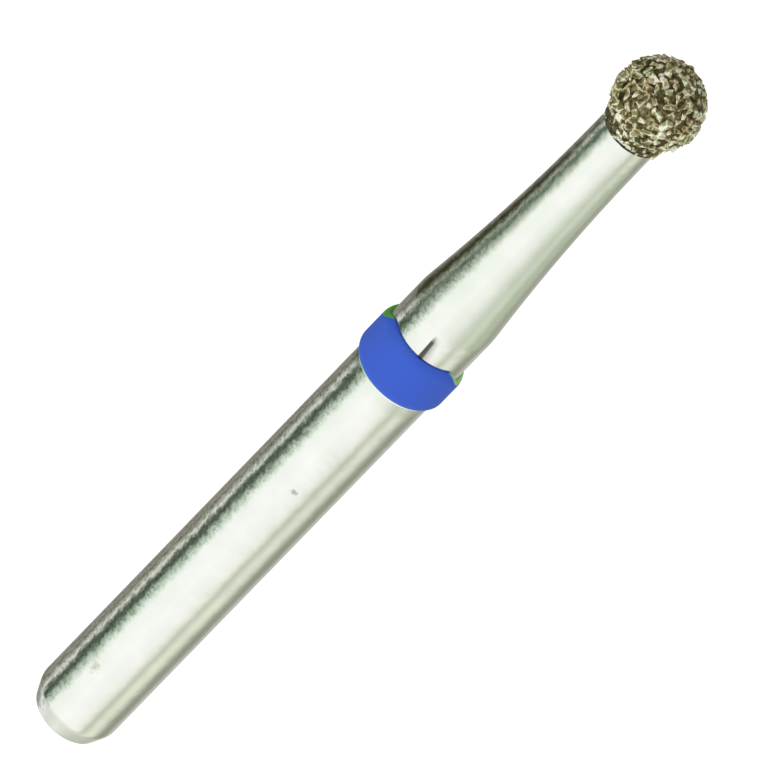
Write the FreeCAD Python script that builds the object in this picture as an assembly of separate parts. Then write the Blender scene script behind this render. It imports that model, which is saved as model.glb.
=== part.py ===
import FreeCAD, Part
import math
import os
import random

# A friction-grip dental bur with a round, diamond-plated head, in millimetres.
# The axis is Z. The origin is the centre of the flat shank end, and the head is at the top.

# Steel blank: shank
overall_length = 19.0  # flat shank end to the top of the grit
shank_d = 1.6
end_taper_length = 0.36  # lead-in taper that guides the shank into a chuck
end_taper_depth = 0.14
end_edge_r = 0.04
end_blend_r = 0.4

# Colour ring, a pillow-shaped band of lacquer in a shallow hollow turned in the shank
ring_start = 10.25
ring_width = 1.1
ring_seat_depth = 0.02
ring_stand = 0.1  # how far the crown of the lacquer stands proud of the shank
ring_lip = 0.03  # how far its edges do
ring_shoulder = 0.2  # how much of its width each round shoulder takes
ring_crown = 0.005  # how far its middle rises above its shoulders

# Steel blank: shoulder, neck and the ball under the plating
shoulder_gap = 0.75  # full shank left between the ring and the start of the taper
shoulder_blend_r = 3.0
neck_d = 1.12
taper_end_gap = 1.13  # below the head's centre, where the long taper runs out into the neck
core_d = 1.52

# Plating: nickel that holds the diamond grit
bond_thickness = 0.04
collar_length = 0.2  # plated stretch of neck below the head
collar_bevel = 0.025
collar_bevel_limit = 0.7  # most of the plating's thickness that the bevel may take
collar_blend_r = 0.06

# Diamond grit
grit_largest = 0.15  # width of the widest crystals, which are set down first
grit_smallest = 0.075  # width of the fines that fill the gaps between them
grit_stand = 0.07  # how far the widest crystals may stand out of the nickel
grit_sink = 0.055  # how deep a crystal's foot lies under the nickel's surface
grit_tilt = 18.0  # largest lean of a crystal, in degrees
grit_gap = 0.008  # between the round footprints of two crystals
grit_footprint = 0.49  # a footprint's radius for each unit of a crystal's width
grit_rim = 0.1  # bare nickel left along the collar's edge
grit_tries = 14000
grit_seed = 16
crystal_depth_share = (0.8, 1.0)  # a crystal's depth, for each unit of its width
crystal_top_share = (0.15, 0.6)  # its top facet's width, for each unit of its own
crystal_shift_share = 0.2  # how far the top facet may sit off centre
crystal_height_share = (0.7, 1.0)  # its height, for each unit of the tallest of its width

# Worked out from the sizes above
shank_r = shank_d / 2
neck_r = neck_d / 2
core_r = core_d / 2
bond_r = core_r + bond_thickness
head_z = overall_length - grit_stand - bond_r
ring_end = ring_start + ring_width
shoulder_start = ring_end + shoulder_gap
collar_r = neck_r + bond_thickness
neck_start = head_z - taper_end_gap
collar_start = head_z - math.sqrt(bond_r**2 - neck_r**2) - collar_length

UP = FreeCAD.Vector(0, 0, 1)
OUT = FreeCAD.Vector(1, 0, 0)
ORIGIN = FreeCAD.Vector(0, 0, 0)
FULL_TURN = 360
QUARTER_TURN = 90


def at(radius, height):
    """A point of a section, which is drawn in the XZ plane."""
    return FreeCAD.Vector(radius, 0, height)


def line(start, end):
    return Part.LineSegment(start, end).toShape()


def arc(start, through, end):
    return Part.Arc(start, through, end).toShape()


def turned(edges):
    """The solid that a closed half section makes when it is turned round the axis."""
    section = Part.Face(Part.Wire(edges))
    return section.revolve(ORIGIN, UP, FULL_TURN)


def turned_edges(solid, height, radius):
    """The round edges of a turned solid at this height and radius."""
    near = 1e-4
    found = []
    for edge in solid.Edges:
        if edge.Degenerated or not isinstance(edge.Curve, Part.Circle):
            continue
        same_height = abs(edge.Curve.Center.z - height) < near
        if same_height and abs(edge.Curve.Radius - radius) < near:
            found.append(edge)
    return found


def ball_through(centre_z, radius, start_radius):
    """The arc of a ball's half section, from the neck's radius below up to its pole."""
    start = at(start_radius, centre_z - math.sqrt(radius**2 - start_radius**2))
    return start, arc(start, at(radius, centre_z), at(0, centre_z + radius))


def ring_seat():
    """The floor of the ring's hollow, from its lower edge up to its upper edge."""
    middle = at(shank_r - ring_seat_depth, ring_start + ring_width / 2)
    return arc(at(shank_r, ring_start), middle, at(shank_r, ring_end))


def taper():
    """The shoulder's soft corner and the long hollow taper, which runs out tangent to the neck.

    The taper's arc is the one that would meet the shank at shoulder_start with a sharp corner.
    """
    drop = shank_r - neck_r
    run = neck_start - shoulder_start
    hollow_r = (run**2 + drop**2) / (2 * drop)
    hollow_centre = at(neck_r + hollow_r, neck_start)
    corner_x = shank_r - shoulder_blend_r
    rise = math.sqrt((hollow_r + shoulder_blend_r) ** 2 - (hollow_centre.x - corner_x) ** 2)
    corner_centre = at(corner_x, neck_start - rise)
    to_hollow = (hollow_centre - corner_centre).normalize()
    start = at(shank_r, corner_centre.z)
    meet = corner_centre + to_hollow * shoulder_blend_r
    corner_middle = corner_centre + (OUT + to_hollow).normalize() * shoulder_blend_r
    hollow_middle = hollow_centre - (to_hollow + OUT).normalize() * hollow_r
    end = at(neck_r, neck_start)
    return start, [arc(start, corner_middle, meet), arc(meet, hollow_middle, end)]


def steel_blank():
    """Shank, shoulder, neck and ball, turned from one bar."""
    end_flat_r = shank_r - end_taper_depth
    shoulder, taper_edges = taper()
    ball_start, ball = ball_through(head_z, core_r, neck_r)
    edges = [
        line(at(0, 0), at(end_flat_r, 0)),
        line(at(end_flat_r, 0), at(shank_r, end_taper_length)),
        line(at(shank_r, end_taper_length), at(shank_r, ring_start)),
        ring_seat(),
        line(at(shank_r, ring_end), shoulder),
        *taper_edges,
        line(at(neck_r, neck_start), ball_start),
        ball,
        line(at(0, head_z + core_r), at(0, 0)),
    ]
    blank = turned(edges)
    blank = blank.makeFillet(end_blend_r, turned_edges(blank, end_taper_length, shank_r))
    return blank.makeFillet(end_edge_r, turned_edges(blank, 0, end_flat_r))


def lacquer_shoulder(lip, side):
    """The round shoulder of the lacquer, from its low lip up to its side, which it meets squarely."""
    drop, run = side.x - lip.x, abs(side.z - lip.z)
    round_r = (run**2 + drop**2) / (2 * drop)
    centre = side - OUT * round_r
    middle = centre + ((lip - centre) + (side - centre)).normalize() * round_r
    return arc(lip, middle, side)


def colour_ring():
    """The lacquer band: it fills its hollow and stands proud, crowned between round shoulders."""
    crown_r = shank_r + ring_stand
    crown = at(crown_r, ring_start + ring_width / 2)
    low_lip, high_lip = at(shank_r + ring_lip, ring_start), at(shank_r + ring_lip, ring_end)
    low_side = at(crown_r - ring_crown, ring_start + ring_shoulder)
    high_side = at(crown_r - ring_crown, ring_end - ring_shoulder)
    edges = [
        ring_seat(),
        line(at(shank_r, ring_end), high_lip),
        lacquer_shoulder(high_lip, high_side),
        line(high_side, crown),
        line(crown, low_side),
        lacquer_shoulder(low_lip, low_side),
        line(low_lip, at(shank_r, ring_start)),
    ]
    return turned(edges)


def plated_form():
    """The outside of the plating as a solid: a ball that runs down into a collar on the neck."""
    bevel = min(collar_bevel, bond_thickness * collar_bevel_limit)
    ball_start, ball = ball_through(head_z, bond_r, collar_r)
    edges = [
        line(at(0, collar_start), at(collar_r - bevel, collar_start)),
        line(at(collar_r - bevel, collar_start), at(collar_r, collar_start + bevel)),
        line(at(collar_r, collar_start + bevel), ball_start),
        ball,
        line(at(0, head_z + bond_r), at(0, collar_start)),
    ]
    form = turned(edges)
    return form.makeFillet(collar_blend_r, turned_edges(form, ball_start.z, collar_r))


def grit_sites(dice):
    """Where crystals stand on the plating: each one's foot, the way it points and its width."""
    lowest = collar_start + grit_rim
    junction = head_z - math.sqrt(bond_r**2 - collar_r**2)
    sites = []
    for tried in range(grit_tries):
        height = dice.uniform(lowest, head_z + bond_r)
        turn = FreeCAD.Rotation(UP, dice.uniform(0, FULL_TURN))
        width = grit_largest - (grit_largest - grit_smallest) * tried / grit_tries
        if height > junction:
            rise = height - head_z
            foot = at(math.sqrt(bond_r**2 - rise**2), height)
            way = (foot - at(0, head_z)) / bond_r
        else:
            foot, way = at(collar_r, height), OUT
        foot = turn.multVec(foot)
        if all(foot.distanceToPoint(o) > nearest(width, w) for o, _, w in sites):
            sites.append((foot, turn.multVec(way), width))
    return sites


def nearest(width, other_width):
    """The nearest that two crystals of these widths may stand, centre to centre."""
    return (width + other_width) * grit_footprint + grit_gap


def crystal(dice, width):
    """A blocky diamond crystal: a tapered block with a small top facet, its foot below Z = 0."""
    half = width / 2
    side = half * dice.uniform(*crystal_depth_share)
    top = half * dice.uniform(*crystal_top_share)
    shift = half * dice.uniform(-crystal_shift_share, crystal_shift_share)
    tallest = grit_stand * width / grit_largest
    height = tallest * dice.uniform(*crystal_height_share)
    block = Part.makeWedge(
        -half, -grit_sink, -side, shift - top, shift - top,
        half, height, side, shift + top, shift + top,
    )
    block.rotate(ORIGIN, OUT, QUARTER_TURN)
    return block


def diamond_grit():
    """Crystals scattered over the plating, each cut off where it goes into the nickel."""
    dice = random.Random(grit_seed)
    blocks = []
    for foot, way, width in grit_sites(dice):
        block = crystal(dice, width)
        spin = dice.uniform(0, FULL_TURN)
        lean = FreeCAD.Rotation(spin, dice.uniform(-grit_tilt, grit_tilt), 0)
        stand = FreeCAD.Placement(foot, FreeCAD.Rotation(UP, way).multiply(lean))
        block.Placement = stand.multiply(block.Placement)
        blocks.append(block)
    return Part.Compound(blocks).cut(plated_form())


def build():
    blank = steel_blank()
    parts = {
        "steel_blank": blank,
        "colour_ring": colour_ring(),
        "nickel_bond": plated_form().cut(blank),
        "diamond_grit": diamond_grit(),
    }
    os.makedirs("parts", exist_ok=True)
    for name, shape in parts.items():
        shape.exportStep(f"parts/{name}.step")
        print(name, len(shape.Solids), "solids", round(shape.Volume, 4), "mm3")


build()
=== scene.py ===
import math
import random

import bmesh
import bpy
from mathutils import Euler, Matrix, Vector

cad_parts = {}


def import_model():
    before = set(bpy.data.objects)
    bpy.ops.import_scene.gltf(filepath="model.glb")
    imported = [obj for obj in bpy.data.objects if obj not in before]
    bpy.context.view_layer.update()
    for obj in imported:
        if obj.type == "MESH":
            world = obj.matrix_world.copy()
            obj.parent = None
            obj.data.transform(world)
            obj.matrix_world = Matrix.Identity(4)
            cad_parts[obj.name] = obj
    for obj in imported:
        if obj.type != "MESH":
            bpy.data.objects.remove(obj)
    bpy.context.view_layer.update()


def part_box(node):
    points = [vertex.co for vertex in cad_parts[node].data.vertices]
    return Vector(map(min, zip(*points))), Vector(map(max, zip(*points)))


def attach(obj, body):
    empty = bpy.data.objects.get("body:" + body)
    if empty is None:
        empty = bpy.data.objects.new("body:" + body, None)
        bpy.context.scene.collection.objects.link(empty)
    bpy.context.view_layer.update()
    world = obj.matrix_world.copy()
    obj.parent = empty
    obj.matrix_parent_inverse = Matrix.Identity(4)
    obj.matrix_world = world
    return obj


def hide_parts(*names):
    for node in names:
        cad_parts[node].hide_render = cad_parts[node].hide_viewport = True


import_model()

MM = 0.001

# The bur's own sizes in millimetres, read from the frame where it holds them
ring_low, ring_high = (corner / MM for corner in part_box("colour_ring"))
bond_low, bond_high = (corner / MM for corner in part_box("nickel_bond"))
SHANK_R = 0.8
END_TAPER = 0.36  # height of the lead-in taper
END_DEPTH = 0.14  # what the taper takes off the shank's radius
END_EDGE_R = 0.04
END_BLEND_R = 0.4
RING_START, RING_END = ring_low.z, ring_high.z
RING_STAND = 0.1  # how far the lacquer stands out of the shank at its middle
RING_LIP = 0.03  # and at its edges
RING_SHOULDER = 0.2  # height of the round shoulder between the two
RING_DIP = (0.25, 0.34)  # how far its upper edge dips at the left and at the right
RING_LEVEL = 50  # how far round from the front its upper edge stays level, in degrees
SEAT_DEPTH = 0.02  # depth of the hollow in the shank that the lacquer fills
SHOULDER = RING_END + 0.75  # where the shank ends and the taper to the neck starts
SHOULDER_R = 3.0
NECK_R = 0.56
BOND = 0.04  # thickness of the nickel
CORE_R = 0.76  # the steel ball under it
BOND_R = CORE_R + BOND
BOND_FOOT_R = 0.03  # rounding of the plating's lower edge
JOIN_TURN = 4  # how far above the collar the plated ball's own round starts, in degrees
HEAD_Z = bond_high.z - BOND_R
NECK_START = HEAD_Z - 1.13  # where the taper has run out into the straight neck
COLLAR_START = bond_low.z  # the plating's lower edge
GRIT_STAND = 0.07  # how far the widest crystals stand out of the nickel

# How finely the sections are cut: the steps of each arc, and the millimetres from one point to
# the next on a straight run
EDGE_STEPS, BLEND_STEPS, SEAT_STEPS, LIP_STEPS = 8, 10, 8, 14
SHOULDER_STEPS, TAPER_STEPS, BALL_STEPS = 6, 24, 28
FOOT_STEPS, BOND_STEPS, CORE_STEPS = 6, 96, 40
END_RUN, SHANK_RUN, RING_RUN, NECK_RUN = 0.05, 0.25, 0.1, 0.2
TURN_STEPS, BOND_TURN_STEPS = 192, 160


# Photograph's view

LEAN = 36.5  # how far the camera looks down on the upright bur, in degrees
AXIS_SLOPE = 45.9  # the bur's slope in the picture, in degrees above level
LENS = 1500.0
SENSOR = 36.0
CLIP = (0.01, 10.0)  # nearest and farthest that the camera sees, in metres
FRAME_WIDTH = 13.17  # what the picture's width spans at the bur, in millimetres
AIM = Vector((-0.033, 0.0, 9.84))  # the point of the bur at the picture's centre


def camera():
    """A long lens, which looks down on the upright bur and is rolled to lay it across the frame."""
    lean, slope = math.radians(LEAN), math.radians(AXIS_SLOPE)
    back = Vector((0.0, -math.cos(lean), math.sin(lean)))
    level = Vector((1.0, 0.0, 0.0))
    rise = Vector((0.0, math.sin(lean), math.cos(lean)))
    right = rise * math.cos(slope) + level * math.sin(slope)
    up = rise * math.sin(slope) - level * math.cos(slope)
    data = bpy.data.cameras.new("camera")
    data.lens = LENS
    data.sensor_width = SENSOR
    data.clip_start, data.clip_end = CLIP
    eye = bpy.data.objects.new("camera", data)
    distance = LENS * FRAME_WIDTH / SENSOR
    turn = Matrix((right, up, back)).transposed().to_4x4()
    eye.matrix_world = Matrix.Translation((AIM + back * distance) * MM) @ turn
    bpy.context.collection.objects.link(eye)
    bpy.context.scene.camera = eye


# Colours and nodes


def linear(code, alpha=1.0):
    """An sRGB hex colour as the linear values that the shaders take."""
    out = []
    for i in (1, 3, 5):
        c = int(code[i:i + 2], 16) / 255
        out.append(c / 12.92 if c <= 0.04045 else ((c + 0.055) / 1.055) ** 2.4)
    return (*out, alpha)


def add(tree, kind, at=(), links=(), stops=(), mode="LINEAR", **settings):
    """Adds a node: at gives its sockets values, links joins them to other sockets, stops are a
    ramp's (place, hex colour) pairs, mode is how it runs between them, and the rest are settings.

    A Mix of colours takes them at sockets 6 and 7, and gives the mixed one at output 2.
    """
    node = tree.nodes.new(kind)
    for name, value in settings.items():
        setattr(node, name, value)
    for key, value in dict(at).items():
        node.inputs[key].default_value = value
    for key, socket in dict(links).items():
        tree.links.new(socket, node.inputs[key])
    if stops:
        band = node.color_ramp
        band.interpolation = mode
        while len(band.elements) < len(stops):
            band.elements.new(0.5)
        for element, (place, _) in zip(band.elements, stops):
            element.position = place
        for element, (_, code) in zip(band.elements, stops):
            element.color = linear(code)
    return node


def new_material(name):
    made = bpy.data.materials.new(name)
    made.use_nodes = True
    made.node_tree.nodes.clear()
    return made, made.node_tree


# Sections, in millimetres, as (radius, height) points from the bottom up


def arc(centre, radius, start, end, steps):
    """Points of an arc from one angle to another, in degrees from straight out."""
    points = []
    for i in range(steps + 1):
        a = math.radians(start + (end - start) * i / steps)
        points.append((centre[0] + radius * math.cos(a), centre[1] + radius * math.sin(a)))
    return points


def rounded_corner(before, corner, after, radius, steps):
    """Points of the arc that rounds the corner between two straight lines."""
    b, c, a = Vector(before), Vector(corner), Vector(after)
    back, on = (b - c).normalized(), (a - c).normalized()
    half = back.angle(on) / 2
    reach = radius / math.tan(half)
    centre = c + (back + on).normalized() * radius / math.sin(half)
    start, end = c + back * reach - centre, c + on * reach - centre
    points = []
    for i in range(steps + 1):
        way = start.slerp(end, i / steps)
        points.append(tuple(centre + way.normalized() * radius))
    return points


def straight_run(start, end, step):
    """Points along a straight stretch, about a step apart in height."""
    count = max(1, round(abs(end[1] - start[1]) / step))
    return [
        (
            start[0] + (end[0] - start[0]) * i / count,
            start[1] + (end[1] - start[1]) * i / count,
        )
        for i in range(count + 1)
    ]


def seat_points():
    """The shallow hollow in the shank that the lacquer fills."""
    half = (RING_END - RING_START) / 2
    hollow_r = (SEAT_DEPTH**2 + half**2) / (2 * SEAT_DEPTH)
    centre = (SHANK_R - SEAT_DEPTH + hollow_r, (RING_START + RING_END) / 2)
    turn = math.degrees(math.asin(half / hollow_r))
    return arc(centre, hollow_r, 180 + turn, 180 - turn, SEAT_STEPS)


def taper_points():
    """The shoulder's soft corner and the hollow taper that runs out tangent to the neck."""
    drop, run = SHANK_R - NECK_R, NECK_START - SHOULDER
    hollow_r = (run**2 + drop**2) / (2 * drop)
    hollow = Vector((NECK_R + hollow_r, NECK_START))
    corner_x = SHANK_R - SHOULDER_R
    rise = math.sqrt((hollow_r + SHOULDER_R) ** 2 - (hollow.x - corner_x) ** 2)
    corner = Vector((corner_x, NECK_START - rise))
    lean = math.degrees(math.atan2(hollow.y - corner.y, hollow.x - corner.x))
    soft = arc(corner, SHOULDER_R, 0, lean, SHOULDER_STEPS)
    return soft + arc(hollow, hollow_r, 180 + lean, 180, TAPER_STEPS)


def blank_section():
    """The steel blank's outline from the middle of its end to the top of the ball."""
    end, side = (SHANK_R - END_DEPTH, 0), (SHANK_R, END_TAPER)
    edge = rounded_corner((0, 0), end, side, END_EDGE_R, EDGE_STEPS)
    blend = rounded_corner(end, side, (SHANK_R, RING_START), END_BLEND_R, BLEND_STEPS)
    taper = taper_points()
    ball = arc((0, HEAD_Z), CORE_R, -math.degrees(math.acos(NECK_R / CORE_R)), 90, BALL_STEPS)
    points = [(0, 0)] + edge + straight_run(edge[-1], blend[0], END_RUN)[1:-1] + blend
    points += straight_run(blend[-1], (SHANK_R, RING_START), SHANK_RUN)[1:]
    points += seat_points()[1:]
    points += straight_run((SHANK_R, RING_END), taper[0], NECK_RUN)[1:] + taper[1:]
    points += straight_run(taper[-1], ball[0], NECK_RUN)[1:] + ball[1:]
    return points


def ring_section():
    """The lacquer band's closed outline: low lips and round shoulders outside, a hollow inside."""
    outer, drop = SHANK_R + RING_STAND, RING_STAND - RING_LIP
    round_r = (RING_SHOULDER**2 + drop**2) / (2 * drop)
    turn = math.degrees(math.asin(RING_SHOULDER / round_r))
    low = arc((outer - round_r, RING_START + RING_SHOULDER), round_r, -turn, 0, LIP_STEPS)
    high = [(r, RING_START + RING_END - z) for r, z in reversed(low)]
    return low + straight_run(low[-1], high[0], RING_RUN)[1:-1] + high + seat_points()[::-1]


def bond_section():
    """The plating's closed outline: the collar and ball outside, the core's form inside."""
    collar_r = NECK_R + BOND
    ball_start = math.degrees(math.acos(collar_r / BOND_R))
    core_start = math.degrees(math.acos(NECK_R / CORE_R))
    outer = arc((0, HEAD_Z), BOND_R, JOIN_TURN - ball_start, 90, BOND_STEPS)
    inner = arc((0, HEAD_Z), CORE_R, 90, -core_start, CORE_STEPS)
    low, corner, high = (NECK_R, COLLAR_START), (collar_r, COLLAR_START), (collar_r, outer[0][1])
    return rounded_corner(low, corner, high, BOND_FOOT_R, FOOT_STEPS) + outer + inner + [low]


# Meshes


def spun(points, steps=TURN_STEPS, closed=False):
    """A bmesh of a section turned round the axis, in metres."""
    bm = bmesh.new()
    verts = [bm.verts.new((r * MM, 0, z * MM)) for r, z in points]
    edges = [bm.edges.new(pair) for pair in zip(verts, verts[1:])]
    if closed:
        edges.append(bm.edges.new((verts[-1], verts[0])))
    bmesh.ops.spin(
        bm, geom=verts + edges, cent=(0, 0, 0), axis=(0, 0, 1),
        angle=2 * math.pi, steps=steps, use_merge=True,
    )
    bmesh.ops.remove_doubles(bm, verts=bm.verts, dist=1e-8)
    bmesh.ops.recalc_face_normals(bm, faces=bm.faces)
    return bm


def place(name, bm, material, node, slot, sharp=40):
    """Makes the object, rides it on the bur and hides its CAD node. Edges that turn by less than
    sharp, in degrees, are shaded smooth.
    """
    limit = math.radians(sharp)
    for face in bm.faces:
        face.smooth = True
    for edge in bm.edges:
        edge.smooth = len(edge.link_faces) == 2 and edge.calc_face_angle(0) < limit
    mesh = bpy.data.meshes.new(name)
    bm.to_mesh(mesh)
    bm.free()
    mesh.materials.append(material)
    piece = bpy.data.objects.new(name, mesh)
    bpy.context.collection.objects.link(piece)
    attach(piece, "root")
    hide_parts(node)
    return piece


def up_ring(vert):
    """How far up the ring a vertex lies: 0 at its lower edge and 1 at its upper one."""
    return (vert.co.z / MM - RING_START) / (RING_END - RING_START)


def dip_ring_edge(bm):
    """Bends what lies along the ring, so that the ring's upper edge dips towards its sides."""
    for vert in bm.verts:
        share = up_ring(vert)
        if 0 < share < 1.0001:  # the upper edge itself comes out a hair above 1
            round_by = math.degrees(abs(math.atan2(vert.co.x, -vert.co.y)))
            way = min(max((round_by - RING_LEVEL) / (90 - RING_LEVEL), 0.0), 1.0)
            side = (1 + vert.co.x / vert.co.xy.length) / 2
            deepest = RING_DIP[0] + (RING_DIP[1] - RING_DIP[0]) * side
            vert.co.z -= deepest * way * way * (3 - 2 * way) * share * MM


# Steel blank

# A pattern's scale is how many times it repeats in a metre, written here as so many a millimetre.
# Real grinding lines are some microns apart and can't show, so the grain is drawn coarser.
STEEL_GRAIN = 6 / MM  # 0.17 mm from one grain to the next
STEEL_SWELL = 1.3 / MM  # 0.77 mm from one swell to the next
STEEL_SPECKS = 15 / MM  # 0.07 mm from one speck to the next
BLOT_GRAIN = 16 / MM  # 0.06 mm between the notches in a blot's edge

# Marks of handling: the degrees round from the front towards +X, the height, and the reach across,
# in depth and up, in millimetres
NICK = (10.6, 7.42, (0.09, 0.1, 0.065))
STAIN = (-16.8, 1.74, (0.12, 0.25, 0.2))
# A painted dark reflection that streaks up from the ring, with sizes in millimetres
STREAK_LENGTH = 0.58  # up from the ring's upper edge
STREAK_LEFT = (0.04, 0.024)  # where its left edge lies, right of the middle, at foot and top
STREAK_WIDTH = (0.24, 0.15)  # at foot and top
STREAK_FADE = (0.42, 0.6)  # heights above the ring between which it fades out


def blot(tree, where, mark, ragged=0.25, core=0.45):
    """A small round mark with an uneven edge: 1 at its core and 0 outside."""
    turn, height, reach = mark
    a = math.radians(turn)
    centre = (SHANK_R * math.sin(a), -SHANK_R * math.cos(a), height)
    notches = add(
        tree, "ShaderNodeTexNoise", links={"Vector": where}, at={"Scale": BLOT_GRAIN, "Detail": 2.0}
    )
    away = add(
        tree, "ShaderNodeVectorMath", operation="SUBTRACT", links={0: where},
        at={1: [c * MM for c in centre]},
    )
    scaled = add(
        tree, "ShaderNodeVectorMath", operation="DIVIDE", links={0: away.outputs[0]},
        at={1: [r * MM for r in reach]},
    )
    far = add(tree, "ShaderNodeVectorMath", operation="LENGTH", links={0: scaled.outputs[0]})
    shift = add(
        tree, "ShaderNodeMapRange", links={"Value": notches.outputs["Fac"]},
        at={"From Min": 0.3, "From Max": 0.7, "To Min": -ragged, "To Max": ragged},
    )
    edge = add(
        tree, "ShaderNodeMath", operation="ADD",
        links={0: far.outputs["Value"], 1: shift.outputs[0]},
    )
    return add(
        tree, "ShaderNodeMapRange", links={"Value": edge.outputs[0]},
        at={"From Min": 1.0, "From Max": core},
    ).outputs[0]


def dark_reflection_streak(tree, where):
    """A painted dark reflection up from the ring's upper edge: sharp on its left and fading on its
    right.
    """
    parts = add(tree, "ShaderNodeSeparateXYZ", links={"Vector": where})
    foot, top = RING_END * MM, (RING_END + STREAK_LENGTH) * MM
    left, width = (
        add(
            tree, "ShaderNodeMapRange", links={"Value": parts.outputs["Z"]},
            at={"From Min": foot, "From Max": top, "To Min": low * MM, "To Max": high * MM},
        )
        for low, high in (STREAK_LEFT, STREAK_WIDTH)
    )
    aside = add(
        tree, "ShaderNodeMath", operation="SUBTRACT",
        links={0: parts.outputs["X"], 1: left.outputs[0]},
    )
    share = add(
        tree, "ShaderNodeMath", operation="DIVIDE",
        links={0: aside.outputs[0], 1: width.outputs[0]},
    )
    inside = add(tree, "ShaderNodeValToRGB", links={0: share.outputs[0]}, stops=[
        (0.0, "#000000"), (0.05, "#FFFFFF"), (0.34, "#FFFFFF"), (0.5, "#B4B4B4"), (1.0, "#000000"),
    ])
    front = add(
        tree, "ShaderNodeMath", operation="LESS_THAN", links={0: parts.outputs["Y"]}, at={1: 0.0}
    )
    fade = add(
        tree, "ShaderNodeMapRange", links={"Value": parts.outputs["Z"]},
        at={
            "From Min": (RING_END + STREAK_FADE[1]) * MM,
            "From Max": (RING_END + STREAK_FADE[0]) * MM,
        },
    )
    above = add(
        tree, "ShaderNodeMath", operation="GREATER_THAN", links={0: parts.outputs["Z"]},
        at={1: (RING_START + RING_END) / 2 * MM},
    )
    shown = inside
    for limit in (front, fade, above):
        shown = add(
            tree, "ShaderNodeMath", operation="MULTIPLY",
            links={0: shown.outputs[0], 1: limit.outputs[0]},
        )
    return shown.outputs[0]


def stained(tree, colour, mask, code, strength=1.0):
    """Lays a colour over another one where the mask is 1."""
    share = add(tree, "ShaderNodeMath", operation="MULTIPLY", links={0: mask}, at={1: strength})
    return add(
        tree, "ShaderNodeMix", data_type="RGBA", links={0: share.outputs[0], 6: colour},
        at={7: linear(code)},
    ).outputs[2]


def steel_material():
    """Stainless steel, centreless ground and polished, with the small marks of handling, and with
    painted dark reflection: fine specks on the left and a streak up from the ring.
    """
    # To the eye it is a bright mirror that draws the room out to stripes along the bur. The swell
    # bends the stripes a little, and the grain frays their edges, mostly on the left.
    made, tree = new_material("ground_stainless_steel")
    where = add(tree, "ShaderNodeTexCoord").outputs["Object"]
    across = add(tree, "ShaderNodeSeparateXYZ", links={"Vector": where}).outputs["X"]
    grain = add(
        tree, "ShaderNodeTexNoise", links={"Vector": where},
        at={"Scale": STEEL_GRAIN, "Detail": 4.0, "Roughness": 0.72},
    )
    waves = add(
        tree, "ShaderNodeTexNoise", links={"Vector": where},
        at={"Scale": STEEL_SWELL, "Detail": 2.0, "Roughness": 0.5},
    )
    swell = add(
        tree, "ShaderNodeBump", links={"Height": waves.outputs["Fac"]},
        at={"Strength": 1.0, "Distance": 0.01 * MM},
    ).outputs[0]
    # The grain turns the surface sideways only, which frays the stripes and keeps their tones
    sideways = add(
        tree, "ShaderNodeVectorMath", operation="CROSS_PRODUCT", links={1: swell}, at={0: (0, 0, 1)}
    )
    wobble = add(
        tree, "ShaderNodeMapRange", links={"Value": grain.outputs["Fac"]},
        at={"To Min": -0.17, "To Max": 0.17},
    )
    rougher = add(
        tree, "ShaderNodeMapRange", links={"Value": across},
        at={"From Min": 0.1 * MM, "From Max": -0.4 * MM, "To Min": 0.3},
    )
    reach = add(
        tree, "ShaderNodeMath", operation="MULTIPLY",
        links={0: wobble.outputs[0], 1: rougher.outputs[0]},
    )
    aside = add(
        tree, "ShaderNodeVectorMath", operation="SCALE",
        links={0: sideways.outputs[0], "Scale": reach.outputs[0]},
    )
    turned = add(
        tree, "ShaderNodeVectorMath", operation="ADD", links={0: swell, 1: aside.outputs[0]}
    )
    facing = add(
        tree, "ShaderNodeVectorMath", operation="NORMALIZE", links={0: turned.outputs[0]}
    )
    tone = add(
        tree, "ShaderNodeValToRGB", links={0: waves.outputs["Fac"]},
        stops=[(0.3, "#F5F7F4"), (0.7, "#FDFDFC")], mode="EASE",
    ).outputs[0]
    # Fine dark specks on the left, painted as a grainy dark reflection
    speck_noise = add(
        tree, "ShaderNodeTexNoise", links={"Vector": where},
        at={"Scale": STEEL_SPECKS, "Detail": 1.0, "Roughness": 0.6},
    )
    specks = add(
        tree, "ShaderNodeMapRange", links={"Value": speck_noise.outputs["Fac"]},
        at={"From Min": 0.5, "From Max": 0.66},
    )
    on_left = add(
        tree, "ShaderNodeMapRange", links={"Value": across},
        at={"From Min": -0.3 * MM, "From Max": -0.42 * MM},
    )
    painted_reflection_specks = add(
        tree, "ShaderNodeMath", operation="MULTIPLY",
        links={0: specks.outputs[0], 1: on_left.outputs[0]},
    )
    # Painted reflection: the dark specks on the left
    tone = stained(tree, tone, painted_reflection_specks.outputs[0], "#6E7468", 0.48)
    tone = stained(tree, tone, blot(tree, where, NICK), "#7C7F74", 0.55)
    tone = stained(tree, tone, blot(tree, where, STAIN, ragged=0.45, core=-0.3), "#A79E78", 0.6)
    # Painted reflection: the dark streak up from the ring's upper edge
    tone = stained(tree, tone, dark_reflection_streak(tree, where), "#3C3A28", 0.93)
    shader = add(
        tree, "ShaderNodeBsdfPrincipled",
        links={"Base Color": tone, "Normal": facing.outputs[0]},
        at={"Metallic": 1.0, "Roughness": 0.1},
    )
    add(tree, "ShaderNodeOutputMaterial", links={"Surface": shader.outputs[0]})
    return made


def steel_blank():
    bm = spun(blank_section())
    dip_ring_edge(bm)
    return place("steel_body", bm, steel_material(), "steel_blank", "stainless_steel")


# Colour ring


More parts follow.
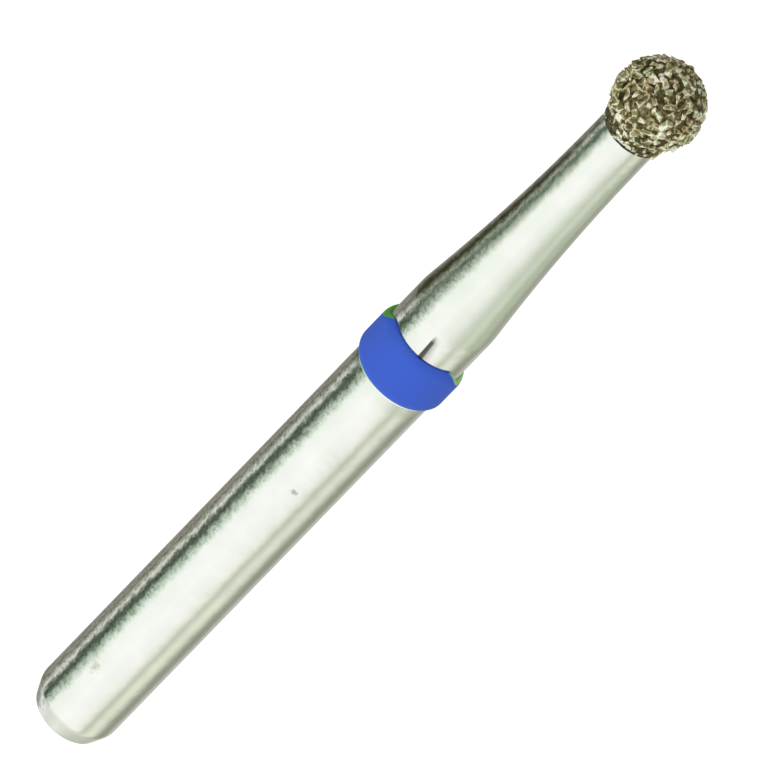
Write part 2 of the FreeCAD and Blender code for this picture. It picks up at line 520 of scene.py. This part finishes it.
def lacquer_material():
    """Baked lacquer over a green undercoat that shows along its edges."""
    # To the eye it is one even, strong blue with a faint sheen, edged by a thin green line above,
    # where it thins at the sides, and by a pale one below.
    made, tree = new_material("baked_blue_lacquer")
    where = add(tree, "ShaderNodeTexCoord").outputs["Object"]
    height = add(tree, "ShaderNodeAttribute", attribute_name="height").outputs["Fac"]
    across = add(tree, "ShaderNodeSeparateXYZ", links={"Vector": where}).outputs["X"]
    # The share of the ring's height that the blue reaches, full in front and less at each side
    left = add(
        tree, "ShaderNodeMapRange", links={"Value": across},
        at={"From Min": -0.66 * MM, "From Max": -0.9 * MM, "To Min": 1.01, "To Max": 0.83},
    )
    right = add(
        tree, "ShaderNodeMapRange", links={"Value": across},
        at={"From Min": 0.6 * MM, "From Max": 0.88 * MM, "To Min": 1.01, "To Max": 0.9},
    )
    line = add(
        tree, "ShaderNodeMath", operation="MINIMUM",
        links={0: left.outputs[0], 1: right.outputs[0]},
    )
    past = add(
        tree, "ShaderNodeMath", operation="SUBTRACT", links={0: height, 1: line.outputs[0]}
    )
    above = add(
        tree, "ShaderNodeMapRange", links={"Value": past.outputs[0]},
        at={"From Min": 0.0, "From Max": 0.02},
    )
    below = add(
        tree, "ShaderNodeMapRange", links={"Value": height}, at={"From Min": 0.05, "From Max": 0.03}
    )
    paler = add(
        tree, "ShaderNodeMapRange", links={"Value": across},
        at={"From Min": -0.8 * MM, "From Max": 0.7 * MM},
    )
    green = add(
        tree, "ShaderNodeMix", data_type="RGBA", links={0: paler.outputs[0]},
        at={6: linear("#4F9A3C"), 7: linear("#9BCB88")},
    )
    whiter = add(
        tree, "ShaderNodeMapRange", links={"Value": across},
        at={"From Min": -0.5 * MM, "From Max": 0.1 * MM},
    )
    rim = add(
        tree, "ShaderNodeMix", data_type="RGBA", links={0: whiter.outputs[0]},
        at={6: linear("#A9DB9C"), 7: linear("#E9F2E2")},
    )
    upper = add(
        tree, "ShaderNodeMix", data_type="RGBA",
        links={0: above.outputs[0], 7: green.outputs[2]}, at={6: linear("#3558C2")},
    )
    edged = add(
        tree, "ShaderNodeMix", data_type="RGBA",
        links={0: below.outputs[0], 6: upper.outputs[2], 7: rim.outputs[2]},
    )
    shader = add(
        tree, "ShaderNodeBsdfPrincipled", links={"Base Color": edged.outputs[2]},
        at={"Roughness": 0.5, "Specular IOR Level": 0.15},
    )
    add(tree, "ShaderNodeOutputMaterial", links={"Surface": shader.outputs[0]})
    return made


def colour_ring():
    bm = spun(ring_section(), closed=True)
    height = bm.verts.layers.float.new("height")
    for vert in bm.verts:
        vert[height] = up_ring(vert)
    dip_ring_edge(bm)
    return place("blue_band", bm, lacquer_material(), "colour_ring", "blue_lacquer")


# Nickel plating

NICKEL_NODULES = 14 / MM  # 0.07 mm from one nodule to the next, coarser than real ones, to show
EDGE_HEIGHT = 0.3  # what the bands along the plating's bare edge span, in millimetres
EDGE_SPAN = 0.6  # how far left and right of the middle its places across are counted


def nickel_material():
    """Electroplated nickel, left dull as it comes from the bath."""
    # To the eye it is dark brown and nodular between the crystals, its own dull colour deepened by
    # painted shade there, and bright like polished metal, with one dark line of painted shadow,
    # along the bare stretch of its edge in front.
    made, tree = new_material("electroplated_nickel")
    where = add(tree, "ShaderNodeTexCoord").outputs["Object"]
    nodules = add(
        tree, "ShaderNodeTexNoise", links={"Vector": where},
        at={"Scale": NICKEL_NODULES, "Detail": 3.0, "Roughness": 0.6},
    )
    # The dull brown is partly the nickel's own colour and partly painted shade in the gaps between
    # the crystals
    tone = add(
        tree, "ShaderNodeValToRGB", links={0: nodules.outputs["Fac"]},
        stops=[(0.35, "#42381B"), (0.7, "#80765A")], mode="EASE",
    )
    parts = add(tree, "ShaderNodeSeparateXYZ", links={"Vector": where})
    level = add(
        tree, "ShaderNodeMapRange", links={"Value": parts.outputs["Z"]},
        at={"From Min": COLLAR_START * MM, "From Max": (COLLAR_START + EDGE_HEIGHT) * MM},
    )
    uneven = add(
        tree, "ShaderNodeMapRange", links={"Value": nodules.outputs["Fac"]},
        at={"To Min": -0.12, "To Max": 0.12},
    )
    height = add(
        tree, "ShaderNodeMath", operation="ADD",
        links={0: level.outputs[0], 1: uneven.outputs[0]},
    )
    across = add(
        tree, "ShaderNodeMapRange", links={"Value": parts.outputs["X"]},
        at={"From Min": -EDGE_SPAN * MM, "From Max": EDGE_SPAN * MM},
    )
    side = add(tree, "ShaderNodeValToRGB", links={0: across.outputs[0]}, stops=[
        (0.38, "#000000"), (0.42, "#FFFFFF"), (0.7, "#FFFFFF"), (0.76, "#000000"),
    ])
    front = add(
        tree, "ShaderNodeMath", operation="LESS_THAN", links={0: parts.outputs["Y"]}, at={1: 0.0}
    )
    low = add(
        tree, "ShaderNodeMapRange", links={"Value": height.outputs[0]},
        at={"From Min": 0.47, "From Max": 0.41},
    )
    bare = side
    for limit in (front, low):
        bare = add(
            tree, "ShaderNodeMath", operation="MULTIPLY",
            links={0: bare.outputs[0], 1: limit.outputs[0]},
        )
    # Up the bare edge: a light foot, a dark line painted as the step's shadow, then the bright
    # polished bead
    edge_bands_with_painted_shadow = add(tree, "ShaderNodeValToRGB", links={0: height.outputs[0]}, stops=[
        (0.0, "#E6EBE2"), (0.05, "#D9DDD2"), (0.08, "#2E3224"), (0.2, "#2E3224"), (0.25, "#F8F6EA"),
        (0.5, "#FFFEF6"),
    ])
    edged = add(
        tree, "ShaderNodeMix", data_type="RGBA",
        links={0: bare.outputs[0], 6: tone.outputs[0], 7: edge_bands_with_painted_shadow.outputs[0]},
    )
    depth = add(
        tree, "ShaderNodeMapRange", links={"Value": bare.outputs[0]},
        at={"To Min": 0.9, "To Max": 0.15},
    )
    bump = add(
        tree, "ShaderNodeBump", at={"Distance": 0.03 * MM},
        links={"Height": nodules.outputs["Fac"], "Strength": depth.outputs[0]},
    )
    shader = add(
        tree, "ShaderNodeBsdfPrincipled",
        links={"Base Color": edged.outputs[2], "Normal": bump.outputs[0]},
        at={"Metallic": 1.0, "Roughness": 0.3},
    )
    add(tree, "ShaderNodeOutputMaterial", links={"Surface": shader.outputs[0]})
    return made


def nickel_bond():
    bm = spun(bond_section(), steps=BOND_TURN_STEPS, closed=True)
    return place("nickel_plating", bm, nickel_material(), "nickel_bond", "nickel_plating")


# Diamond grit, with widths and distances in millimetres

GRIT_SEED = 16
GRIT_WIDEST, GRIT_FINEST = 0.25, 0.11
GRIT_TRIES = 30000
GRIT_CROWDING = 0.31  # least distance between two crystals, for each unit of both their widths
GRIT_RIM = 0.38  # bare plating below a crystal's middle at the rim, for each unit of its width
BARE_RIM = 0.07  # what the grit leaves bare above the plating's edge on one side
BARE_SIDE = (-12, 28)  # where that side lies, in degrees from the front
COLLAR_STAND = 0.6  # how far crystals stand out of the collar, for each unit of the ball's
CRYSTAL_KINDS, CRYSTAL_CORNERS = 18, 16
PAINTED_GLINTS = 0.1  # share of the facets painted near white, as painted glints

GRIT_FLAWS = 6.5 / MM  # 0.15 mm between the bends in a crystal's ridges
GRIT_RIDGES = 6.2 / MM  # 0.16 mm from one bright ridge, a painted highlight, to the next, about a crystal's width
GRIT_HUES = 3.4 / MM  # 0.29 mm from one hue to the next
GRIT_BLOTCHES = 4.8 / MM  # 0.21 mm from one dark patch to the next
RIDGE_BEND = 0.11  # how far a ridge strays from straight


def grit_sites(dice):
    """Where crystals stand on the plating: each one's foot, the way it points and its width."""
    collar_r = NECK_R + BOND
    junction = HEAD_Z - math.sqrt(BOND_R**2 - collar_r**2)
    sites = []
    for tried in range(GRIT_TRIES):
        width = GRIT_WIDEST - (GRIT_WIDEST - GRIT_FINEST) * tried / GRIT_TRIES
        rim = COLLAR_START + GRIT_RIM * width
        z = dice.uniform(rim, HEAD_Z + BOND_R)
        turn = dice.uniform(0, 2 * math.pi)
        side = math.degrees(turn - 1.5 * math.pi) % 360  # from the front, which is -Y
        bare = side < BARE_SIDE[1] or side > 360 + BARE_SIDE[0]
        if bare and z < rim + BARE_RIM:
            continue
        r = math.sqrt(BOND_R**2 - (z - HEAD_Z) ** 2) if z > junction else collar_r
        rise = z - HEAD_Z if z > junction else 0
        foot = Vector((r * math.cos(turn), r * math.sin(turn), z))
        way = Vector((foot.x, foot.y, rise)).normalized()
        if all((foot - o).length > (width + w) * GRIT_CROWDING for o, _, w in sites):
            sites.append((foot, way, width))
    return sites


def crystal_kinds(dice):
    """A few blocky crystals of unit width, each the hull of points scattered over a cube."""
    kinds = []
    for _ in range(CRYSTAL_KINDS):
        bm = bmesh.new()
        for _ in range(CRYSTAL_CORNERS):
            p = Vector([dice.uniform(-1, 1) for _ in range(3)])
            p *= 0.5 / max(abs(c) for c in p)
            bm.verts.new(p * dice.uniform(0.85, 1.0))
        hull = bmesh.ops.convex_hull(bm, input=bm.verts)
        inner = [e for e in hull["geom_interior"] if isinstance(e, bmesh.types.BMVert)]
        bmesh.ops.delete(bm, geom=inner, context="VERTS")
        bmesh.ops.recalc_face_normals(bm, faces=bm.faces)
        mesh = bpy.data.meshes.new("crystal")
        bm.to_mesh(mesh)
        bm.free()
        kinds.append(mesh)
    return kinds


def diamond_material():
    """Synthetic diamond grit: blocky crystals as they were grown, held in the nickel."""
    # To the eye it is olive and brown with a tinge of green, with painted shade in the hollows, and
    # crossed by fine pale ridges, which are painted highlights on the edges and steps of the
    # crystals.
    made, tree = new_material("diamond_crystals")
    where = add(tree, "ShaderNodeTexCoord").outputs["Object"]
    tone = add(tree, "ShaderNodeAttribute", attribute_name="tone")
    flaws = add(
        tree, "ShaderNodeTexNoise", links={"Vector": where},
        at={"Scale": GRIT_FLAWS, "Detail": 1.0, "Roughness": 0.5},
    )
    bent = add(
        tree, "ShaderNodeVectorMath", operation="MULTIPLY_ADD",
        links={0: flaws.outputs["Color"], 2: where}, at={1: [RIDGE_BEND * MM] * 3},
    )
    steps = add(
        tree, "ShaderNodeTexVoronoi", feature="DISTANCE_TO_EDGE",
        links={"Vector": bent.outputs[0]}, at={"Scale": GRIT_RIDGES},
    )
    # White at the cells' edges as painted highlights and black at their middles as painted shade;
    # the same pattern also bumps the surface
    ridges_with_painted_light_and_shade = add(tree, "ShaderNodeValToRGB", links={0: steps.outputs["Distance"]}, stops=[
        (0.03, "#FFFFFF"), (0.13, "#8C8C8C"), (0.25, "#000000"),
    ])
    patches = add(
        tree, "ShaderNodeTexNoise", links={"Vector": where},
        at={"Scale": GRIT_HUES, "Detail": 2.0, "Roughness": 0.6},
    )
    blotches = add(
        tree, "ShaderNodeTexNoise", links={"Vector": where},
        at={"Scale": GRIT_BLOTCHES, "Detail": 1.0, "Roughness": 0.5},
    )
    shift = add(
        tree, "ShaderNodeMapRange", links={"Value": blotches.outputs["Fac"]},
        at={"From Min": 0.32, "From Max": 0.68, "To Min": -0.18, "To Max": 0.34},
    )
    shaded = add(
        tree, "ShaderNodeMath", operation="MULTIPLY_ADD",
        links={0: tone.outputs["Fac"], 2: shift.outputs[0]}, at={1: 0.38},
    )
    both = add(
        tree, "ShaderNodeMath", operation="MULTIPLY_ADD",
        links={0: ridges_with_painted_light_and_shade.outputs[0], 2: shaded.outputs[0]}, at={1: 0.64},
    )
    colour = add(tree, "ShaderNodeValToRGB", links={0: both.outputs[0]}, stops=[
        (0.0, "#423814"), (0.2, "#6C633A"), (0.4, "#948C65"), (0.6, "#B3AE89"),
        (0.8, "#D0CDB1"), (1.0, "#F0EEDF"),
    ])
    hues = add(tree, "ShaderNodeValToRGB", links={0: patches.outputs["Fac"]}, stops=[
        (0.36, "#FFD2B4"), (0.46, "#FFF3E0"), (0.55, "#F4FFF2"), (0.66, "#C6F09C"),
    ], mode="EASE")
    tinted = add(
        tree, "ShaderNodeMix", data_type="RGBA", blend_type="MULTIPLY",
        links={6: colour.outputs[0], 7: hues.outputs[0]}, at={0: 0.4},
    )
    bump = add(
        tree, "ShaderNodeBump", links={"Height": ridges_with_painted_light_and_shade.outputs[0]},
        at={"Strength": 0.55, "Distance": 0.02 * MM},
    )
    shader = add(
        tree, "ShaderNodeBsdfPrincipled",
        links={"Base Color": tinted.outputs[2], "Normal": bump.outputs[0]},
        at={"Roughness": 0.35, "Specular IOR Level": 0.35},
    )
    add(tree, "ShaderNodeOutputMaterial", links={"Surface": shader.outputs[0]})
    return made


def diamond_grit():
    """The crystals scattered over the plating, each with its foot sunk in the nickel."""
    dice = random.Random(GRIT_SEED)
    kinds = crystal_kinds(dice)
    bm = bmesh.new()
    tone = bm.faces.layers.float.new("tone")
    for foot, way, width in grit_sites(dice):
        old_faces, old_verts = len(bm.faces), len(bm.verts)
        bm.from_mesh(dice.choice(kinds))
        bm.faces.ensure_lookup_table()
        bm.verts.ensure_lookup_table()
        shade = dice.uniform(0.15, 0.7)
        # Each facet's tone is the crystal's own tone, varied from facet to facet as painted facet
        # shading, or 1 as a painted glint
        for face in bm.faces[old_faces:]:
            painted_glint = dice.random() < PAINTED_GLINTS
            face[tone] = 1.0 if painted_glint else shade + dice.uniform(-0.13, 0.13)
        verts = bm.verts[old_verts:]
        turn = Euler([dice.uniform(0, 2 * math.pi) for _ in range(3)]).to_matrix()
        squash = Matrix.Diagonal((1.0, dice.uniform(0.75, 1.0), dice.uniform(0.6, 0.9)))
        for vert in verts:
            vert.co = turn @ squash @ vert.co * width * MM
        stand = GRIT_STAND * (width / GRIT_WIDEST) ** 0.5 * dice.uniform(0.55, 1.0) * MM
        if way.z == 0:
            stand *= COLLAR_STAND
        lift = stand - max(vert.co.dot(way) for vert in verts)
        bmesh.ops.translate(bm, verts=verts, vec=foot * MM + way * lift)
    return place("diamond_crystals", bm, diamond_material(), "diamond_grit", "diamond", sharp=35)


# Studio, with places and sizes in millimetres

FLOOR_WIDTH = 800
BUR_MIDDLE = Vector((0, 0, 9.5))


def floor():
    """A wide floor of lit white paper, which throws light up on the bur."""
    bpy.ops.mesh.primitive_plane_add(size=FLOOR_WIDTH * MM)
    plane = bpy.context.object
    plane.name = "floor"
    made, tree = new_material("white_paper")
    matte = add(tree, "ShaderNodeBsdfDiffuse", at={"Color": linear("#C8C8C8")})
    glow = add(tree, "ShaderNodeEmission", at={"Color": linear("#FFFFFF"), "Strength": 0.8})
    both = add(tree, "ShaderNodeAddShader", links={0: matte.outputs[0], 1: glow.outputs[0]})
    add(tree, "ShaderNodeOutputMaterial", links={"Surface": both.outputs[0]})
    plane.data.materials.append(made)
    plane.visible_glossy = False  # so that steel mirrors what the world has there


# What stands round the bur, by the direction from it: 0 is towards the camera, and degrees run
# anticlockwise seen from above. Steel mirrors it as stripes. The first row is what lies low
# round it, the second what lies higher, and the last what lies under it.
LOW_SURROUNDINGS = [
    (-180, "#A5A498"), (-152, "#929185"), (-143, "#7C7D71"), (-134, "#9B9C8F"),
    (-125, "#747568"), (-117, "#9A9C90"), (-109, "#B7BAAE"), (-102, "#E2E6DA"),
    (-97, "#B9BFB2"), (-91, "#6F786B"), (-85, "#4A5543"), (-77, "#525F4E"),
    (-71, "#7E8B7A"), (-64, "#AAB9A8"), (-56, "#C8D5C6"), (-48, "#E8F1E5"),
    (-40, "#F8FCF5"), (0, "#FDFFFC"), (40, "#F8F9F1"), (50, "#EFF1E6"), (57, "#DCDFD0"),
    (64, "#C3C7B7"), (70, "#CDD2BF"), (82, "#E3E8D5"), (92, "#DEE3D0"), (100, "#CACFBB"),
    (110, "#A4A896"), (121, "#909485"), (134, "#9A9D90"), (150, "#BFC1B6"),
]
HIGH_SURROUNDINGS = [
    (-180, "#B0B0A4"), (-160, "#98988C"), (-148, "#7C7C70"), (-139, "#66665A"),
    (-129, "#454536"), (-120, "#373926"), (-113, "#4A4D39"), (-105, "#727764"),
    (-97, "#989F8E"), (-89, "#7A8574"), (-81, "#697565"), (-74, "#7E8A7A"),
    (-67, "#A0AA9A"), (-60, "#B6C0B0"), (-53, "#CED7C8"), (-47, "#E6EDE1"), (-40, "#F6FAF3"),
    (0, "#FBFEF8"), (28, "#F0F4EA"), (40, "#E3E8DB"), (55, "#D0D6C6"), (64, "#C8CFBD"),
    (78, "#CCD5C1"), (88, "#C2CCB6"), (97, "#B2BCA5"), (106, "#B4BCA6"), (117, "#ABB29E"),
    (128, "#9CA190"), (144, "#A4A899"), (165, "#B6B8AC"),
]
UNDER_SURROUNDINGS = [
    (-180, "#A9ABA5"), (-150, "#A4A6A0"), (-134, "#B0B2AC"), (-118, "#E6E8E3"),
    (-104, "#EAECE8"), (-80, "#DDDFD9"), (-50, "#E0E2DB"), (0, "#E8EDE1"), (40, "#DDE3D6"),
    (66, "#D6D9CE"), (104, "#C3CABA"), (133, "#C0C4B3"), (160, "#B4B7A8"),
]
# Between which rises one gives way to the next, where -1 is straight down and 1 straight up
LOW_TO_HIGH = (-0.591, -0.579)
UNDER_TO_LOW = (-0.86, -0.66)
HIGH_TO_CEILING = (0.1, 0.5)


def world():
    """Soft light all round, with darker stretches of the room that the steel mirrors."""
    made = bpy.data.worlds.new("studio")
    bpy.context.scene.world = made
    made.use_nodes = True
    tree = made.node_tree
    tree.nodes.clear()
    way = add(tree, "ShaderNodeTexCoord").outputs["Generated"]
    parts = add(tree, "ShaderNodeSeparateXYZ", links={"Vector": way})
    front = add(
        tree, "ShaderNodeMath", operation="MULTIPLY", links={0: parts.outputs["Y"]}, at={1: -1.0}
    )
    turn = add(
        tree, "ShaderNodeMath", operation="ARCTAN2",
        links={0: parts.outputs["X"], 1: front.outputs[0]},
    )
    share = add(
        tree, "ShaderNodeMapRange", links={"Value": turn.outputs[0]},
        at={"From Min": -math.pi, "From Max": math.pi},
    )
    low, high, lowest = (
        add(
            tree, "ShaderNodeValToRGB", links={0: share.outputs[0]},
            stops=[((degrees + 180) / 360, code) for degrees, code in row],
        )
        for row in (LOW_SURROUNDINGS, HIGH_SURROUNDINGS, UNDER_SURROUNDINGS)
    )
    higher, above_floor, over = (
        add(
            tree, "ShaderNodeMapRange", links={"Value": parts.outputs["Z"]},
            at={"From Min": start, "From Max": end},
        )
        for start, end in (LOW_TO_HIGH, UNDER_TO_LOW, HIGH_TO_CEILING)
    )
    around = add(
        tree, "ShaderNodeMix", data_type="RGBA",
        links={0: higher.outputs[0], 6: low.outputs[0], 7: high.outputs[0]},
    )
    grounded = add(
        tree, "ShaderNodeMix", data_type="RGBA",
        links={0: above_floor.outputs[0], 6: lowest.outputs[0], 7: around.outputs[2]},
    )
    roofed = stained(tree, grounded.outputs[2], over.outputs[0], "#B4B4AE")
    path = add(tree, "ShaderNodeLightPath")
    seen = add(
        tree, "ShaderNodeMix", data_type="RGBA",
        links={0: path.outputs["Is Camera Ray"], 6: roofed}, at={7: linear("#FFFFFF")},
    )
    light = add(
        tree, "ShaderNodeBackground", links={"Color": seen.outputs[2]}, at={"Strength": 1.0}
    )
    add(tree, "ShaderNodeOutputWorld", links={"Surface": light.outputs[0]})


def lamp(name, stand, size, power):
    """A square soft lamp that looks at the middle of the bur. Its power is in watts."""
    data = bpy.data.lights.new(name, "AREA")
    data.size = size * MM
    data.energy = power
    item = bpy.data.objects.new(name, data)
    item.location = Vector(stand) * MM
    item.rotation_euler = (BUR_MIDDLE - Vector(stand)).to_track_quat("-Z", "Y").to_euler()
    bpy.context.collection.objects.link(item)


steel_blank()
colour_ring()
nickel_bond()
diamond_grit()
floor()
world()
lamp("key", stand=(-60, -110, 35), size=60, power=0.05)
lamp("fill", stand=(90, -60, 60), size=80, power=0.02)
camera()
bpy.context.scene.view_settings.view_transform = "Standard"
